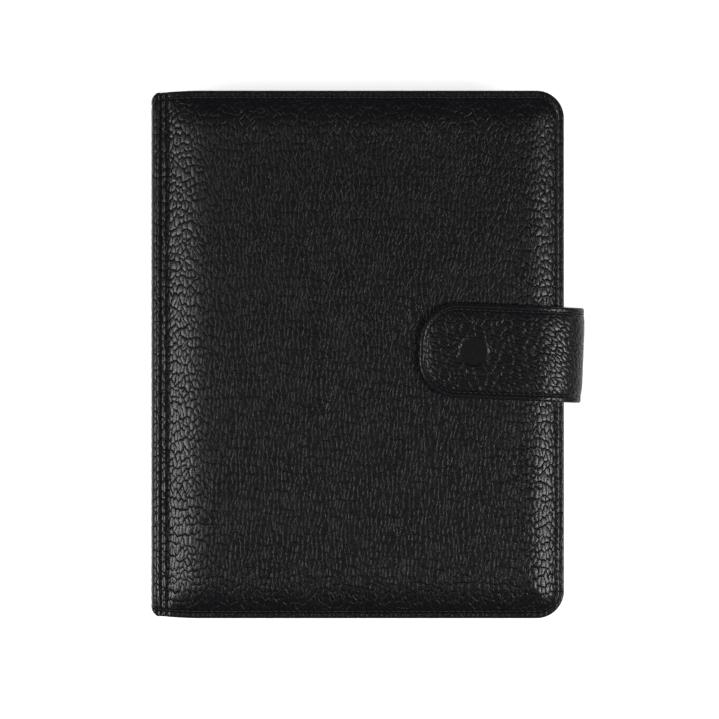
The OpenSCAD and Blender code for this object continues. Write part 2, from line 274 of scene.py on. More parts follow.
def pebbled_leather():
    """Black drum-dyed hide with a pebbled grain and a low wax shine. The third value of
    sheet says how much of the grain is left: none where it is pressed flat."""
    material, tree, shader = new_material("pebbled_leather")
    sheet = add_node(tree, "ShaderNodeAttribute", attribute_name="sheet").outputs["Vector"]
    grain = add_node(tree, "ShaderNodeSeparateXYZ", {0: sheet}).outputs[2]
    cells = pebble_cells(tree, sheet)
    crease = ramp(tree, cells, 0.0, CREASE_W)
    pores = noise(tree, sheet, 2.6, 3.0, "2D").outputs[0]
    folds = cell_edges(tree, vector_maths(tree, "MULTIPLY", sheet, (1.15, 0.85, 0.0)), 1.0)
    folds = ramp(tree, folds, 0.0, 0.1)
    cloud = noise(tree, sheet, 0.05, 3.0, "2D").outputs[0]
    top = mix_colour(tree, cloud, (0.0052, 0.0047, 0.0056, 1), (0.008, 0.0074, 0.0086, 1))
    # the creases are darker than the pebble tops: partly dirt worked into them, partly
    # painted shade where less light reaches in
    colour = mix_colour(tree, crease, (0.002, 0.0018, 0.0023, 1), top)
    tree.links.new(colour, shader.inputs["Base Color"])
    shine = ramp(tree, crease, 0.0, 1.0, 0.5, 0.28)
    shine = maths(tree, "ADD", shine, ramp(tree, pores, 0.35, 0.7, -0.02, 0.05))
    shine = maths(tree, "ADD", shine, ramp(tree, cloud, 0.35, 0.65, -0.008, 0.01))
    tree.links.new(shine, shader.inputs["Roughness"])
    level = ramp(tree, crease, 0.0, 1.0, 0.15, 0.5)
    tree.links.new(level, shader.inputs["Specular IOR Level"])
    height = maths(tree, "ADD", crease, maths(tree, "MULTIPLY", folds, 0.1))
    height = maths(tree, "MULTIPLY", height, grain)
    coarse = bump(tree, height, 0.12, 1.0)
    tree.links.new(bump(tree, pores, 0.018, 0.6, coarse), shader.inputs["Normal"])
    shader.inputs["Sheen Weight"].default_value = 0.3
    shader.inputs["Sheen Roughness"].default_value = 0.3
    shader.inputs["Sheen Tint"].default_value = (0.55, 0.36, 0.95, 1)
    return material


def smooth_leather():
    """Black lining leather: a fine, even grain, duller than the outside"""
    material, tree, shader = new_material("smooth_leather")
    place = place_mm(tree)
    fine = noise(tree, place, 1.6, 4.0).outputs[0]
    hairs = cell_edges(tree, vector_maths(tree, "MULTIPLY", place, (1.5, 1.3, 1.0)), 1.0)
    hairs = ramp(tree, hairs, 0.0, 0.25)
    cloud = noise(tree, place, 0.04, 3.0).outputs[0]
    colour = mix_colour(tree, cloud, (0.021, 0.02, 0.0215, 1), (0.036, 0.0345, 0.0365, 1))
    tree.links.new(colour, shader.inputs["Base Color"])
    tree.links.new(ramp(tree, fine, 0.3, 0.7, 0.48, 0.62), shader.inputs["Roughness"])
    height = maths(tree, "ADD", maths(tree, "MULTIPLY", hairs, 0.7), fine)
    tree.links.new(bump(tree, height, 0.05, 0.6), shader.inputs["Normal"])
    return material


def raw_leather():
    """Undyed split, for the strap's core"""
    material, tree, shader = new_material("raw_leather")
    fibres = noise(tree, place_mm(tree), 2.4, 5.0).outputs[0]
    colour = mix_colour(tree, fibres, (0.1, 0.055, 0.03, 1), (0.21, 0.13, 0.075, 1))
    tree.links.new(colour, shader.inputs["Base Color"])
    shader.inputs["Roughness"].default_value = 0.85
    tree.links.new(bump(tree, fibres, 0.15, 0.8), shader.inputs["Normal"])
    return material


def felt():
    """Grey-white needled felt"""
    material, tree, shader = new_material("felt")
    place = place_mm(tree)
    fibres = noise(tree, vector_maths(tree, "MULTIPLY", place, (1.0, 0.4, 1.0)), 1.8, 6.0)
    colour = mix_colour(tree, fibres.outputs[0], (0.42, 0.4, 0.36, 1), (0.66, 0.64, 0.59, 1))
    tree.links.new(colour, shader.inputs["Base Color"])
    shader.inputs["Roughness"].default_value = 0.95
    shader.inputs["Sheen Weight"].default_value = 0.4
    tree.links.new(bump(tree, fibres.outputs[0], 0.4, 1.0), shader.inputs["Normal"])
    return material


def bookboard():
    """Grey recycled board with flecks"""
    material, tree, shader = new_material("bookboard")
    place = place_mm(tree)
    pulp = noise(tree, place, 0.8, 6.0).outputs[0]
    flecks = ramp(tree, noise(tree, place, 2.2, 1.0).outputs[0], 0.66, 0.72)
    colour = mix_colour(tree, pulp, (0.2, 0.18, 0.155, 1), (0.36, 0.33, 0.29, 1))
    colour = mix_colour(tree, flecks, colour, (0.08, 0.075, 0.07, 1))
    tree.links.new(colour, shader.inputs["Base Color"])
    shader.inputs["Roughness"].default_value = 0.9
    tree.links.new(bump(tree, pulp, 0.1, 0.6), shader.inputs["Normal"])
    return material


def thread():
    """Waxed black polyester thread, laid with a twist"""
    material, tree, shader = new_material("thread")
    place = place_mm(tree)
    twist = add_node(tree, "ShaderNodeTexWave", {"Vector": place, "Scale": 2.0},
                     bands_direction="DIAGONAL").outputs[1]
    colour = mix_colour(tree, twist, (0.016, 0.016, 0.018, 1), (0.045, 0.044, 0.048, 1))
    tree.links.new(colour, shader.inputs["Base Color"])
    shader.inputs["Roughness"].default_value = 0.5
    tree.links.new(bump(tree, twist, 0.06, 0.7), shader.inputs["Normal"])
    return material


def nickel(name, low, high):
    """Nickel plate with rubbed-in hairlines, its roughness between low and high"""
    material, tree, shader = new_material(name)
    place = place_mm(tree)
    lines = noise(tree, vector_maths(tree, "MULTIPLY", place, (6.0, 0.3, 6.0)), 1.0, 4.0)
    smudge = noise(tree, place, 0.12, 3.0).outputs[0]
    colour = mix_colour(tree, smudge, (0.58, 0.57, 0.55, 1), (0.7, 0.69, 0.67, 1))
    tree.links.new(colour, shader.inputs["Base Color"])
    shader.inputs["Metallic"].default_value = 1.0
    rough = maths(tree, "ADD", ramp(tree, lines.outputs[0], 0.3, 0.7, low, high),
                  ramp(tree, smudge, 0.45, 0.7, 0.0, 0.07))
    tree.links.new(rough, shader.inputs["Roughness"])
    tree.links.new(bump(tree, lines.outputs[0], 0.02, 0.3), shader.inputs["Normal"])
    return material


PEBBLED = pebbled_leather()
SMOOTH = smooth_leather()
RAW = raw_leather()
FELT = felt()
BOARD = bookboard()
THREAD = thread()
NICKEL = nickel("nickel_steel", 0.2, 0.36)
NICKEL_CAP = nickel("nickel_brass", 0.1, 0.22)

# ------------------------------------------------------------------ lines


class Line:
    """A smooth line in the X, Z plane, read by its length along it, with its outer normal"""

    def __init__(self, points, outward):
        self.points = np.array(points, float)
        steps = np.linalg.norm(np.diff(self.points, axis=0), axis=1)
        self.at = np.concatenate([[0.0], np.cumsum(steps)])
        self.length = self.at[-1]
        tangent = np.gradient(self.points, self.at, axis=0)
        tangent /= np.linalg.norm(tangent, axis=1)[:, None]
        self.normals = outward * np.stack([-tangent[:, 1], tangent[:, 0]], 1)

    def read(self, u):
        """X and Z, and the normal's X and Z, at each length u"""
        x, z = (np.interp(u, self.at, self.points[:, k]) for k in (0, 1))
        nx, nz = (np.interp(u, self.at, self.normals[:, k]) for k in (0, 1))
        size = np.sqrt(nx * nx + nz * nz)
        return x, z, nx / size, nz / size


def through(points, steps=24):
    """A Catmull-Rom line through a few points"""
    p = np.array(points, float)
    p = np.vstack([2 * p[0] - p[1], p, 2 * p[-1] - p[-2]])
    t = np.linspace(0, 1, steps, endpoint=False)[:, None]
    parts = []
    for a, b, c, d in zip(p, p[1:], p[2:], p[3:]):
        parts.append(0.5 * (2 * b + (c - a) * t + (2 * a - 5 * b + 4 * c - d) * t ** 2
                            + (3 * b - a - 3 * c + d) * t ** 3))
    return np.vstack(parts + [p[-2:-1]])


def straight(start, end, step=0.5):
    """Points from start towards end, which is left out"""
    count = max(2, int(np.hypot(end[0] - start[0], end[1] - start[1]) / step))
    t = np.linspace(0, 1, count, endpoint=False)[:, None]
    return np.array(start) * (1 - t) + np.array(end) * t


def arc(centre, radii, from_deg, to_deg, count=48):
    """Points on part of an ellipse, without the last"""
    a = np.radians(np.linspace(from_deg, to_deg, count, endpoint=False))
    return np.array(centre) + np.array(radii) * np.stack([np.cos(a), np.sin(a)], 1)


# ------------------------------------------------------------------ turned sheets


def in_fours(count):
    """The next multiple of four, so that the inner face can have a quarter as many steps"""
    return 4 * math.ceil(count / 4)


class Edge:
    """The section of a sheet's edge, from its hidden end, round the edge and in over the
    top. d is the inset from the outline, roll the depth of the turned edge and the stitch
    groove, and pad the drop from the padded crown; g is the length along the section.
    under is how far the turned edge reaches in below, reach how far in the section goes, and
    fine and coarse are its steps up to the seam and past it."""

    STEP = 0.08
    DOWN_STEPS = 8
    TURN_STEPS = 14
    GROOVE_W = 0.45
    SEAM_W = 1.6

    def __init__(self, depth, turn_r, under, reach, fine, coarse, groove=None,
                 groove_depth=0.0, pad_h=0.0, pad_l=1.0, pad_power=2.6):
        seam = groove or turn_r
        down = np.linspace(under, turn_r, self.DOWN_STEPS, endpoint=False)
        a = np.radians(np.linspace(90, 0, self.TURN_STEPS))
        low = np.stack([turn_r - turn_r * np.cos(a), depth - turn_r + turn_r * np.sin(a)], 1)
        high = np.stack([turn_r - turn_r * np.cos(a[::-1]),
                         turn_r - turn_r * np.sin(a[::-1])], 1)
        top = np.arange(turn_r + self.STEP, reach + self.STEP / 2, self.STEP)
        d = np.concatenate([down, low[:, 0], high[:, 0], top])
        roll = np.concatenate([np.full(self.DOWN_STEPS, depth), low[:, 1], high[:, 1],
                               np.zeros(len(top))])
        if groove:
            dip = groove_depth * np.exp(-((d - groove) / self.GROOVE_W) ** 2)
            roll = roll + dip * (roll < depth / 2)
        rise = np.clip((d - seam - self.GROOVE_W) / pad_l, 0, 1)
        first_top = len(down) + len(low)
        rise[:first_top] = 0
        pad = pad_h * (1 - rise) ** pad_power
        steps = np.hypot(np.diff(d), np.diff(roll + pad))
        g = np.concatenate([[0.0], np.cumsum(np.maximum(steps, 1e-6))])
        change = np.interp(seam + self.SEAM_W, d[first_top:], g[first_top:])
        first = in_fours(change / fine)
        rest = in_fours((g[-1] - change) / coarse)
        self.g = np.concatenate([np.linspace(0, change, first, endpoint=False),
                                 np.linspace(change, g[-1], rest + 1)])
        self.d, self.roll, self.pad = (np.interp(self.g, g, v) for v in (d, roll, pad))
        self.top_g = lambda inset: np.interp(inset, d[first_top:], g[first_top:])
        self.seam_k = int(np.argmin(np.abs(self.g - self.top_g(seam))))
        self.seam_inset = self.d[self.seam_k]

    def inner_face(self, inset, depth):
        """The section of the sheet's inner face, flat at a depth, with a quarter as many
        steps"""
        d = np.linspace(inset, self.d[-1], (len(self.g) - 1) // 4 + 1)
        past_seam = len(self.g) - 1 - np.argmax(self.d[::-1] <= self.seam_inset)
        return SimpleNamespace(
            d=d, g=d, roll=np.full(len(d), depth), top_g=lambda inset: inset,
            pad=np.interp(d, self.d[past_seam:], self.pad[past_seam:]))


def even(value):
    """A measure that is the same all along a line"""
    return lambda u: np.full_like(u, value, dtype=float)


def face_grid(line, edge, half_width, corners, free, mids, roll_scale, pad_scale):
    """Points of one face of a turned sheet, as (n, m, 3), and their places on the hide.
    corners are the radii at the line's start and end, and free says whether each has a
    turned edge; mids is the number of steps between the edges, along and across."""
    last = len(edge.g) - 1
    reach = edge.d[-1]
    ks, us, ends = [], [], []
    if free[0]:
        ks += list(range(last))
        us += list(edge.d[:-1])
        ends += [-1] * last
    start = reach if free[0] else 0.0
    stop = line.length - reach if free[1] else line.length
    mid = np.linspace(start, stop, mids[0] + 1)
    ks += [last] * len(mid)
    us += list(mid)
    ends += [0] * len(mid)
    if free[1]:
        ks += list(range(last - 1, -1, -1))
        us += list(line.length - edge.d[last - 1::-1])
        ends += [1] * last
    ku, u, end = np.array(ks), np.array(us), np.array(ends)
    across = np.linspace(-1, 1, mids[1] + 1)
    kv = np.array(list(range(last)) + [last] * len(across) + list(range(last - 1, -1, -1)))
    side = np.array([-1.0] * last + [0.0] * len(across) + [1.0] * last)
    spread = np.concatenate([np.zeros(last), across, np.zeros(last)])

    ku2, kv2 = np.meshgrid(ku, kv, indexing="ij")
    u2 = np.repeat(u[:, None], len(kv), 1)
    end2 = np.repeat(end[:, None], len(kv), 1)
    side2 = np.repeat(side[None, :], len(ku), 0)
    k = np.minimum(ku2, kv2)
    corner = np.where(end2 < 0, corners[0], corners[1])
    g0 = edge.top_g(corner)
    gu, gv = edge.g[ku2], edge.g[kv2]
    inside = (end2 != 0) & (side2 != 0) & (gu < g0) & (gv < g0)
    near_end = gu <= gv
    span = np.maximum(g0 - np.minimum(gu, gv), 1e-6)
    angle = np.where(near_end, (g0 - gv) / span, 2 - (g0 - gu) / span) * math.pi / 4
    corner_u = np.where(end2 > 0, line.length - corner, corner)
    reach_r = corner - edge.d[k]
    u3 = np.where(inside, corner_u + end2 * reach_r * np.cos(angle), u2)
    width = half_width(u3)
    plain_v = np.where(side2 == 0, spread[None, :] * (width - reach),
                       side2 * (width - edge.d[kv2]))
    v3 = np.where(inside, side2 * (width - corner + reach_r * np.sin(angle)), plain_v)
    # the same on the hide, unrolled
    hide_r = g0 - edge.g[k]
    hide_end = np.where(end2 > 0, line.length - corner + g0 - gu, corner - g0 + gu)
    hide_u = np.where(end2 == 0, u2, hide_end)
    hide_v = np.where(side2 == 0, plain_v, side2 * (width - corner + g0 - gv))
    hide_u = np.where(inside, corner_u + end2 * hide_r * np.cos(angle), hide_u)
    hide_v = np.where(inside, side2 * (width - corner + hide_r * np.sin(angle)), hide_v)

    depth = edge.roll[k] * roll_scale(u3) + edge.pad[k] * pad_scale(u3)
    x, z, nx, nz = line.read(u3)
    points = np.stack([x - nx * depth, v3, z - nz * depth], -1)
    return points, np.stack([hide_u, hide_v], -1), k


def grid_normals(points, line):
    """Normals of a grid, turned the way that its line faces"""
    along = np.gradient(points, axis=0)
    across = np.gradient(points, axis=1)
    normals = np.cross(along, across)
    size = np.linalg.norm(normals, axis=-1, keepdims=True)
    normals = normals / np.maximum(size, 1e-9)
    _, _, nx, nz = line.read(np.array([line.length / 2]))
    middle = normals[len(points) // 2, points.shape[1] // 2]
    return -normals if middle @ np.array([nx[0], 0, nz[0]]) < 0 else normals


def grid_faces(index):
    corners = [index[:-1, :-1], index[1:, :-1], index[1:, 1:], index[:-1, 1:]]
    return np.stack([c.ravel() for c in corners], 1).tolist()


def border(index):
    return np.concatenate([index[:, 0], index[-1, 1:], index[-2::-1, -1], index[0, -2:0:-1]])


def make_piece(name, points, faces, material, hide=None):
    """A piece from points in mm, with faces turned outwards and its place on the hide"""
    mesh = bpy.data.meshes.new(name)
    mesh.from_pydata((np.asarray(points) * MM).tolist(), [], faces)
    work = bmesh.new()
    work.from_mesh(mesh)
    bmesh.ops.recalc_face_normals(work, faces=work.faces)
    work.to_mesh(mesh)
    work.free()
    mesh.polygons.foreach_set("use_smooth", np.ones(len(mesh.polygons), bool))
    mesh.set_sharp_from_angle(angle=SHARP_ANGLE)
    if hide is not None:
        sheet = mesh.attributes.new("sheet", "FLOAT_VECTOR", "POINT")
        sheet.data.foreach_set("vector", hide.astype(np.float32).ravel())
    mesh.materials.append(material)
    piece = bpy.data.objects.new(name, mesh)
    bpy.context.scene.collection.objects.link(piece)
    return piece


def unchanged(points, is_normal=False):
    return points


def fade(value, at, width):
    """From 1 well below at to 0 well above it"""
    return 1 / (1 + np.exp((value - at) / width))


def turned_sheet(name, line, edge, half_width, corners, free, step, thickness, material,
                 grain=0.0, hide_map=unchanged, place=unchanged, roll_scale=even(1),
                 pad_scale=even(1), press=None, stretch=None):
    """A closed sheet of leather with turned edges. place moves points and normals from the
    section's own frame; stretch and press say how much of the grain is left. Returns the
    piece, and its outer face's points and normals before the grain, for the stitches."""
    mids = (in_fours(line.length / step),
            in_fours(2 * float(half_width(np.zeros(1))[0]) / step))
    points, hide, k = face_grid(line, edge, half_width, corners, free, mids,
                                roll_scale, pad_scale)
    back = edge.inner_face(edge.d[0] + 0.2, thickness)
    inner, inner_hide, _ = face_grid(line, back, half_width, corners, free,
                                     (mids[0] // 4, mids[1] // 4), even(1), pad_scale)
    normals = grid_normals(points, line)
    base = place(points)
    hide, inner_hide = hide_map(hide), hide_map(inner_hide)
    kept = np.zeros(hide.shape[:2])
    if grain:
        height = measure_grain(hide.reshape(-1, 2)).reshape(hide.shape[:2])
        rolled = fade(edge.d[k], edge.seam_inset + 0.7, 0.25)
        kept = (1 - 0.66 * rolled) * np.clip(edge.g[k] / 1.5, 0, 1) * stretch(points)
        pressed, flat = press(points) if press else (0, 0)
        kept = kept * (1 - flat)
        points = points - normals * (pressed + grain * kept * (1 - height))[..., None]
    points, inner, normals = place(points), place(inner), place(normals, True)
    n_out = points.shape[0] * points.shape[1]
    index = np.arange(n_out).reshape(points.shape[:2])
    back_index = n_out + np.arange(inner.shape[0] * inner.shape[1]).reshape(inner.shape[:2])
    faces = grid_faces(index) + grid_faces(back_index[:, ::-1])
    outer_loop, inner_loop = border(index), border(back_index)
    ratio = len(outer_loop) // len(inner_loop)
    for i in range(len(inner_loop)):
        outer_part = [outer_loop[(ratio * i + j) % len(outer_loop)] for j in range(ratio + 1)]
        faces.append([int(v) for v in outer_part]
                     + [int(inner_loop[(i + 1) % len(inner_loop)]), int(inner_loop[i])])
    all_points = np.vstack([points.reshape(-1, 3), inner.reshape(-1, 3)])
    all_hide = np.vstack([hide.reshape(-1, 2), inner_hide.reshape(-1, 2)])
    all_kept = np.concatenate([kept.ravel(), np.zeros(len(all_hide) - n_out)])
    piece = make_piece(name, all_points, faces, material,
                       np.column_stack([all_hide, all_kept]))
    return piece, base, normals


# ------------------------------------------------------------------ stitches


def stitches(name, path, normals, thread_r=0.27, lift=0.1):
    """A row of thread stitches: each a short hump of thread that dives into its two holes"""
    steps = np.linalg.norm(np.diff(path, axis=0), axis=1)
    at = np.concatenate([[0.0], np.cumsum(steps)])
    count = max(1, int(at[-1] / STITCH_PITCH))
    centres = (np.arange(count) + 0.5) * at[-1] / count
    length = at[-1] / count * STITCH_SHARE
    rings, sides = 9, 8
    tau = np.linspace(-1, 1, rings)
    where = centres[:, None] + tau[None, :] * length / 2
    spine = np.stack([np.interp(where, at, path[:, k]) for k in range(3)], -1)
    up = np.stack([np.interp(where, at, normals[:, k]) for k in range(3)], -1)
    up /= np.linalg.norm(up, axis=-1, keepdims=True)
    along = np.gradient(spine, axis=1)
    along /= np.linalg.norm(along, axis=-1, keepdims=True)
    beside = np.cross(along, up)
    # high in the middle and down into its holes at the ends, at a slight slant
    hump = lift + 0.12 - 0.5 * np.abs(tau) ** 3.5
    slant = 0.1 * tau
    radius = thread_r * (1 - 0.55 * np.abs(tau) ** 5)
    spine = spine + up * hump[None, :, None] + beside * slant[None, :, None]
    turn = np.linspace(0, 2 * math.pi, sides, endpoint=False)
    ring = (np.cos(turn)[:, None] * beside[:, :, None, :]
            + np.sin(turn)[:, None] * up[:, :, None, :] * 0.85)
    points = spine[:, :, None, :] + ring * radius[None, :, None, None]
    faces = []
    for s in range(count):
        first = s * rings * sides
        for r in range(rings - 1):
            for q in range(sides):
                a = first + r * sides + q
                b = first + r * sides + (q + 1) % sides
                faces.append([a, b, b + sides, a + sides])
        faces.append([first + q for q in range(sides)])
        faces.append([first + (rings - 1) * sides + q for q in range(sides)])
    return make_piece(name, points.reshape(-1, 3), faces, THREAD)


def follow(grid, normals, run):
    """The points and normals at a run of grid places"""
    return (np.array([grid[i, j] for i, j in run]),
            np.array([normals[i, j] for i, j in run]))


def seam_path(grid, normals, edge, free_end=True):
    """The line of the stitch groove round an outer face: out along one side, round the
    free end and back along the other; without a free end, the two sides on their own"""
    k = edge.seam_k
    rows = grid.shape[0] - 1 - (k if free_end else 0)
    cols = grid.shape[1] - 1 - k
    out = [(i, k) for i in range(rows)]
    end = [(rows, j) for j in range(k, cols)]
    back = [(i, cols) for i in range(rows, -1, -1)]
    runs = [out + end + back] if free_end else [out, back]
    return [follow(grid, normals, run) for run in runs]


# ------------------------------------------------------------------ covers

# From the padding's crown, down into the gutter and over the spine's shoulder, as X and Z
# offsets from the crown's start
GUTTER = [(14, 0), (10, -0.18), (7, -0.45), (4.2, -0.84), (1.6, -1.3), (-1, -1.88),
          (-3.2, -2.54), (-4.6, -3.2), (-5.6, -4.0), (-6.4, -4.42), (-7.2, -4.15),
          (-8.0, -3.2), (-9.0, -2.56), (-10.1, -2.5), (-11.2, -3.3), (-11.8, -4.9), (-12, -7)]
CROWN_X = SPINE_X + 12


def outer_line():
    """The front's outer face in section, from the spine's middle to the fore edge"""
    gutter = [(CROWN_X + x, CLOSED_T + z) for x, z in reversed(GUTTER)]
    return Line(np.vstack([straight((SPINE_X, MID_Z), gutter[0]), through(gutter)[:-1],
                           straight(gutter[-1], (FORE_X, CLOSED_T)),
                           [(FORE_X, CLOSED_T)]]), outward=1.0)


def inner_line():
    """The front lining's visible face, from the spine's middle to near the fore edge"""
    z = CLOSED_T - LINING_Z
    bend = [(INNER_X, z - 3.2), (INNER_X + 0.1, z - 2.0), (INNER_X + 0.7, z - 0.8),
            (INNER_X + 2.0, z - 0.12), (INNER_X + 3.6, z), (INNER_X + 5, z)]
    return Line(np.vstack([straight((INNER_X, MID_Z), bend[0]), through(bend)[:-1],
                           straight(bend[-1], (FORE_X - LINING_INSET, z)),
                           [(FORE_X - LINING_INSET, z)]]), outward=-1.0)


def mirrored(points, is_normal=False):
    """From the front cover to the back cover"""
    flipped = points.copy()
    flipped[..., 2] *= -1
    return flipped if is_normal else flipped + np.array([0, 0, CLOSED_T])


def near_spine(x):
    """From 1 at the spine to 0 where the cover has its full height"""
    return np.clip((SPINE_X + SPINE_TAPER - x) / SPINE_TAPER, 0, 1)


COVER_EDGE = Edge(depth=1.9, turn_r=0.9, under=2.0, reach=19, fine=0.3, coarse=0.52,
                  groove=SEAM_INSET, groove_depth=0.4, pad_h=2.85, pad_l=15, pad_power=2.6)
LINING_EDGE = Edge(depth=0.8, turn_r=0.35, under=0.8, reach=13, fine=0.3, coarse=2.0)


def blend_fold(piece, front):
    """Bakes a piece's place into its mesh; the piece is not bent between its cover and the
    spine."""
    def across(offset):
        z = FOLD_Z + offset[1]
        return metres(FOLD_X + offset[0], 0, z if front else CLOSED_T - z)

    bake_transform(piece)


def cover_stretch(points):
    """How much of the grain stands: it is pulled flatter over the middle of the padding"""
    x, y = points[..., 0], points[..., 1]
    off = np.minimum(np.minimum(x - SPINE_X, FORE_X - x), HALF_H - np.abs(y) + 3)
    over_pad = 0.45 + 0.55 * fade(off, 19, 4)
    shoulder = fade(x, FOLD_X + 1.5, 0.5) * (x > SPINE_X + 0.6)
    return over_pad * (1 - 0.55 * shoulder)


def cover_hide(front):
    line = outer_line()

    def pad_scale(u):
        # the line itself drops into the gutter, so the ends' padding drops less there
        x, z, _, _ = line.read(u)
        return 1 - np.where(x < 0, np.clip((CLOSED_T - z) / COVER_EDGE.pad[0], 0, 1), 0)

    def roll_scale(u):
        # shallow in the gutter, and deep enough on the spine to close over its layers
        x = line.read(u)[0]
        gutter = np.exp(-((x - FOLD_X) / 2.6) ** 2)
        wall = np.clip((SPINE_X + 1.6 - x) / 1.2, 0, 1)
        return 1 - 0.5 * gutter + 0.72 * wall

    def half_width(u):
        x = line.read(u)[0]
        corner = np.clip((SPINE_X + SPINE_CORNER_R - x) / SPINE_CORNER_R, 0, 1)
        rounding = SPINE_CORNER_R * (1 - np.sqrt(1 - 0.96 * corner ** 2))
        return HALF_H - (HALF_H - SPINE_HALF_H) * near_spine(x) ** 1.6 - rounding

    side = "front" if front else "back"
    # the two covers are cut from either side of one line on the hide
    hide_side = np.array([1 if front else -1, 1])
    piece, grid, normals = turned_sheet(
        side + "_cover_leather", line, COVER_EDGE, half_width, corners=(0, CORNER_R),
        free=(False, True), step=0.56, thickness=LEATHER_T, material=PEBBLED,
        grain=COVER_GRAIN, place=unchanged if front else mirrored,
        hide_map=lambda h: h * hide_side, roll_scale=roll_scale, pad_scale=pad_scale,
        stretch=cover_stretch)
    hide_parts(*(["front_leather", "spine_leather"] if front else ["back_leather"]))
    path, up = seam_path(grid, normals, COVER_EDGE)[0]
    sewn = stitches(side + "_cover_stitches", path, up)
    for part in (piece, sewn):
        blend_fold(part, front)


def cover_lining(front):
    line = inner_line()

    def half_width(u):
        return HALF_H - LINING_INSET - 1.0 * near_spine(line.read(u)[0]) ** 1.6

    side = "front" if front else "back"
    piece, _, _ = turned_sheet(
        side + "_lining_leather", line, LINING_EDGE, half_width,
        corners=(0, CORNER_R - LINING_INSET), free=(False, True), step=2.2,
        thickness=LINING_T, material=SMOOTH, place=unchanged if front else mirrored)
    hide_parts(*(["front_lining", "spine_lining"] if front else ["back_lining"]))
    blend_fold(piece, front)


def cover_pad(front):
    """The felt under the leather: flat on its board, crowned on top"""
    low, high = box_mm("front_padding")
    line = Line(np.vstack([straight((low[0], high[2]), (high[0], high[2])),
                           [(high[0], high[2])]]), outward=1.0)
    edge = Edge(depth=0.6, turn_r=0.28, under=0.6, reach=16, fine=0.4, coarse=1.5,
                pad_h=1.35, pad_l=12, pad_power=2.4)
    name = ("front" if front else "back") + "_pad"
    piece, _, _ = turned_sheet(
        name, line, edge, even(high[1]), corners=(2, 7.5), free=(True, True), step=2.4,
        thickness=high[2] - low[2] - 0.05, material=FELT,
        place=unchanged if front else mirrored)
    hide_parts("front_padding" if front else "back_padding")
    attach(piece, "front_cover" if front else "back_cover")


# ------------------------------------------------------------------ strap

STRAP_EDGE = Edge(depth=2.15, turn_r=1.0, under=1.6, reach=17.6, fine=0.26, coarse=0.42,
                  groove=2.75, groove_depth=0.38, pad_h=0.5, pad_l=6, pad_power=2.2)
STRAP_LINING_EDGE = Edge(depth=0.8, turn_r=0.35, under=0.8, reach=16.2, fine=0.3, coarse=1.2)
LOW_BEND = (STRAP_X - LOW_BEND_R, STRAP_LOW_Z + LOW_BEND_R)
TOP_BEND = (STRAP_X - TOP_BEND_R[0], STRAP_TOP_Z - TOP_BEND_R[1])


def strap_turned(points, is_normal=False):
    c, s = math.cos(STRAP_TURN), math.sin(STRAP_TURN)
    turn = np.array([[c, -s, 0], [s, c, 0], [0, 0, 1]])
    if is_normal:
        return points @ turn.T
    return (points - np.array([SNAP[0], 0, 0])) @ turn.T + np.array([SNAP[0], SNAP[1], 0])


def strap_line(upper, depth, inset, outward):
    """The strap in section at a depth from its outer face. It is in two lengths, which
    meet halfway up the fore edge."""
    split = (LOW_BEND[1] + TOP_BEND[1]) / 2
    x = STRAP_X - depth
    if upper:
        z = STRAP_TOP_Z - depth
        parts = [straight((x, split), (x, TOP_BEND[1])),
                 arc(TOP_BEND, np.array(TOP_BEND_R) - depth, 0, 90),
                 straight((TOP_BEND[0], z), (STRAP_TIP_X + inset, z)),
                 [(STRAP_TIP_X + inset, z)]]
        return Line(np.vstack(parts), outward=outward)
    z = STRAP_LOW_Z + depth
    parts = [straight((FORE_X + 0.4, z), (LOW_BEND[0], z)),
             arc(LOW_BEND, np.array([1, 1]) * (LOW_BEND_R - depth), -90, 0),
             straight((x, LOW_BEND[1]), (x, split)), [(x, split)]]
    return Line(np.vstack(parts), outward=outward)


def bend_strap(piece, upper):
    name = "strap_lift" if upper else "strap_swing"
    pivot = Vector(joint_facts(name)["pos_m"])
    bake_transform(piece)


def strap_stretch(points):
    """How much of the grain stands: all of it round the fore edge"""
    return 1 - 0.35 * fade(points[..., 0], 76, 3)


def emblem(points):
    """A plain round blind stamp in the strap, over the press stud: how deep it is pressed,
    and how much of the grain it flattens"""
    away = np.hypot(points[..., 0] - EMBLEM_X, points[..., 1])
    away = np.where(points[..., 2] > STRAP_TOP_Z - 3, away, 99)
    inside = fade(away, EMBLEM_R, 0.12)
    return EMBLEM_DEPTH * inside, 0.94 * inside


def strap_part(upper):
    name = "strap_tongue" if upper else "strap_root"
    inset = STRAP_LINING_INSET
    line = strap_line(upper, 0, inset=0, outward=-1.0)
    # on the hide, the lower length runs on from the upper one
    shift = np.array(STRAP_HIDE_PLACE) - [0 if upper else line.length, 0]
    piece, grid, normals = turned_sheet(
        name + "_leather", line, STRAP_EDGE, even(STRAP_HALF_W), corners=(0, STRAP_TIP_R),
        free=(False, upper), step=0.42, thickness=STRAP_LEATHER_T, material=PEBBLED,
        grain=STRAP_GRAIN, place=strap_turned,
        hide_map=lambda h: h @ np.array(STRAP_HIDE_TURN) + shift,
        press=emblem if upper else None, stretch=strap_stretch)
    lining, _, _ = turned_sheet(
        name + "_lining_leather", strap_line(upper, STRAP_T, inset, outward=1.0),
        STRAP_LINING_EDGE, even(STRAP_HALF_W - inset), corners=(0, STRAP_TIP_R - inset),
        free=(False, upper), step=1.2, thickness=LINING_T, material=SMOOTH,
        place=strap_turned)
    sewn = [stitches(f"{name}_stitches_{n + 1}", path, up, thread_r=0.25)
            for n, (path, up) in enumerate(seam_path(grid, normals, STRAP_EDGE, upper))]
    if upper:
        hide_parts("strap_tongue_outer", "strap_tongue_core", "strap_side_outer",
                    "strap_side_core")
        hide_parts("strap_tongue_lining", "strap_side_lining")
    else:
        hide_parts("strap_root_outer")
        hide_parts("strap_root_lining")
    for part in [piece, lining] + sewn:
        bend_strap(part, upper)


# ------------------------------------------------------------------ pockets

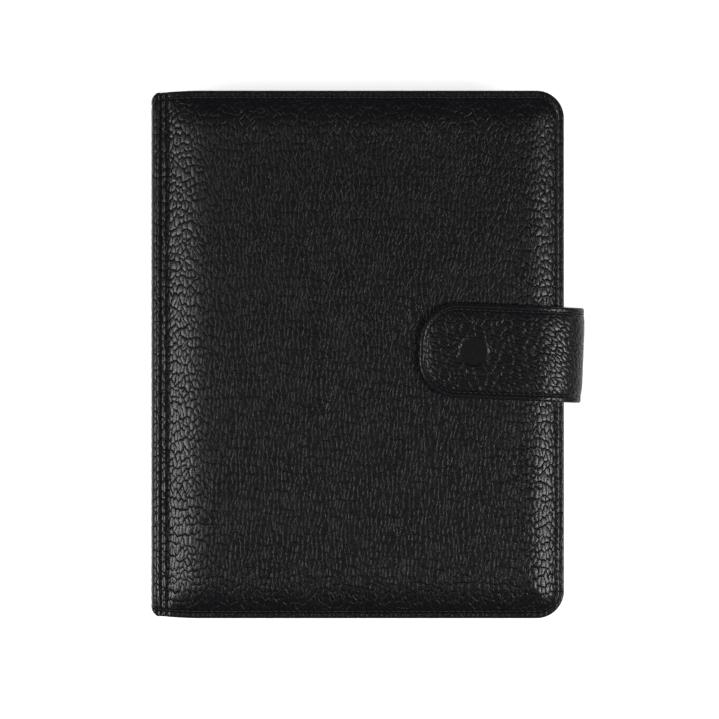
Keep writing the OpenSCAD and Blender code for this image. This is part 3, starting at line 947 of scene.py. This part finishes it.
CARD_POCKETS = 4
POCKET_EDGE = Edge(depth=0.55, turn_r=0.24, under=0.6, reach=10, fine=0.3, coarse=1.5,
                   groove=2.0, groove_depth=0.12)


def shifted_in_y(middle):
    """Takes a sheet made round Y = 0 to its place"""
    def place(points, is_normal=False):
        return points if is_normal else points + np.array([0, middle, 0])

    return place


def pocket(node, body, open_side, corners=(1.5, 1.5)):
    """A thin leather panel with turned edges, sewn on three sides; open_side is its mouth"""
    low, high = box_mm(node)
    front = body == "front_cover"
    z = low[2] if front else high[2]
    line = Line(np.vstack([straight((low[0], z), (high[0], z)), [(high[0], z)]]),
                outward=-1.0 if front else 1.0)
    middle, half = (low[1] + high[1]) / 2, (high[1] - low[1]) / 2
    piece, grid, normals = turned_sheet(
        node + "_leather", line, POCKET_EDGE, even(half), corners=corners,
        free=(True, True), step=2.5, thickness=high[2] - low[2] - 0.02, material=SMOOTH,
        place=shifted_in_y(middle))
    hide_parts(node)
    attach(piece, body)
    k = POCKET_EDGE.seam_k
    n, m = grid.shape[:2]
    sides = {"x0": [(k, j) for j in range(k, m - k)],
             "x1": [(n - 1 - k, j) for j in range(k, m - k)],
             "y0": [(i, k) for i in range(k, n - k)],
             "y1": [(i, m - 1 - k) for i in range(k, n - k)]}
    for side, run in sides.items():
        if side == open_side:
            continue
        path, up = follow(grid, normals, run)
        row = stitches(f"{node}_stitches_{side}", path, up, thread_r=0.2, lift=0.0)
        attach(row, body)


def pen_loop():
    """A leather loop for a pen, with its tab sewn to the back lining"""
    low, high = box_mm("pen_loop")
    mount = next(m for m in frame["record"]["mounts"] if m["name"] == "pen_loop")
    cx, _, cz = (v / MM for v in mount["pos_m"])
    radius = high[0] - cx
    wall = radius - mount["dims"]["r_mm"]
    middle, half = (low[1] + high[1]) / 2, (high[1] - low[1]) / 2
    # a flat tab, a rise out of it, and most of a turn round the pen
    tab = straight((low[0], low[2] + wall), (cx - 3.5, low[2] + wall))
    rise = through([(cx - 3.5, low[2] + wall), (cx - 4.8, low[2] + wall + 0.6),
                    (cx - radius * 0.93, cz - radius * 0.37)])[:-1]
    loop = arc((cx, cz), (radius, radius), 201, -88, 120)
    line = Line(np.vstack([tab[:-4], rise[6:], loop]), outward=1.0)
    edge = Edge(depth=wall, turn_r=wall * 0.45, under=wall * 0.5, reach=5, fine=0.3,
                coarse=1.2, groove=1.8, groove_depth=0.1)
    piece, _, _ = turned_sheet(
        "pen_loop_leather", line, edge, even(half), corners=(1.2, 1.2), free=(True, True),
        step=1.2, thickness=wall * 0.9, material=SMOOTH, place=shifted_in_y(middle))
    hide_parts("pen_loop")
    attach(piece, "back_cover")


# ------------------------------------------------------------------ CAD nodes kept

KEPT = {"nickel_steel": NICKEL, "nickel_brass": NICKEL_CAP, "stiff_board": BOARD,
        "core_leather": RAW}


def finish_kept_nodes():
    """Gives the CAD nodes that stay in view their materials"""
    slots = {part["node"]: part["material_slot"] for part in frame["record"]["subparts"]}
    for node, obj in frame["nodes"].items():
        material = KEPT.get(slots[node])
        if material is None:
            continue
        obj.data.materials.clear()
        obj.data.materials.append(material)


# ------------------------------------------------------------------ studio


FLOOR_HALF = 6.0
FLOOR_GLOW = 0.82
WALL_GLOW = 0.22
CEILING_GLOW = 0.035
CAMERA_DISTANCE = 1.6
# The width of the picture at the front cover, and its middle
PICTURE_W = 0.3125
PICTURE_MIDDLE = (0.0009, -0.0022)


def softbox(name, place, size, power):
    """A soft lamp that faces the origin"""
    data = bpy.data.lights.new(name, "AREA")
    data.shape = "RECTANGLE"
    data.size, data.size_y = size
    data.energy = power
    lamp = bpy.data.objects.new(name, data)
    bpy.context.scene.collection.objects.link(lamp)
    lamp.location = place
    lamp.rotation_euler = (-Vector(place)).to_track_quat("-Z", "Y").to_euler()


def floor():
    """A pale floor that glows enough to stay white round the cover"""
    mesh = bpy.data.meshes.new("floor")
    half = FLOOR_HALF
    mesh.from_pydata([(-half, -half, 0), (half, -half, 0), (half, half, 0), (-half, half, 0)],
                     [], [(0, 1, 2, 3)])
    obj = bpy.data.objects.new("floor", mesh)
    bpy.context.scene.collection.objects.link(obj)
    material, _, shader = new_material("floor")
    shader.inputs["Base Color"].default_value = (0.85, 0.85, 0.85, 1)
    shader.inputs["Roughness"].default_value = 0.9
    shader.inputs["Emission Color"].default_value = (1, 1, 1, 1)
    shader.inputs["Emission Strength"].default_value = FLOOR_GLOW
    mesh.materials.append(material)


def world():
    """A studio with a dark ceiling and pale walls"""
    surround = bpy.data.worlds.new("studio")
    bpy.context.scene.world = surround
    surround.use_nodes = True
    tree = surround.node_tree
    shade = tree.nodes["Background"]
    up = add_node(tree, "ShaderNodeSeparateXYZ",
                  {0: tree.nodes.new("ShaderNodeTexCoord").outputs["Generated"]}).outputs[2]
    glow = ramp(tree, up, 0.0, 0.5, WALL_GLOW, CEILING_GLOW)
    tree.links.new(glow, shade.inputs["Strength"])
    shade.inputs["Color"].default_value = (0.93, 0.85, 1, 1)


def camera():
    """Straight above, as in the photograph"""
    data = bpy.data.cameras.new("camera")
    data.sensor_width = 36
    data.lens = data.sensor_width * CAMERA_DISTANCE / PICTURE_W
    obj = bpy.data.objects.new("camera", data)
    bpy.context.scene.collection.objects.link(obj)
    obj.location = (*PICTURE_MIDDLE, CLOSED_T * MM + CAMERA_DISTANCE)
    bpy.context.scene.camera = obj


camera()
floor()
world()
softbox("left_softbox", (-0.9, -0.12, 1.28), (0.26, 0.7), 7.7)
softbox("right_softbox", (0.9, -0.24, 1.28), (0.26, 0.6), 9.0)
bpy.context.scene.view_settings.view_transform = "Standard"

for is_front in (True, False):
    cover_hide(is_front)
    cover_lining(is_front)
    cover_pad(is_front)
for is_upper in (True, False):
    strap_part(is_upper)
pocket("slip_pocket", "front_cover", "x0", corners=(1.5, CORNER_R - 2.5))
for number in range(1, CARD_POCKETS + 1):
    pocket(f"card_pocket_{number}", "front_cover", "y1")
pocket("notepad_pocket", "back_cover", "y1")
pen_loop()
finish_kept_nodes()
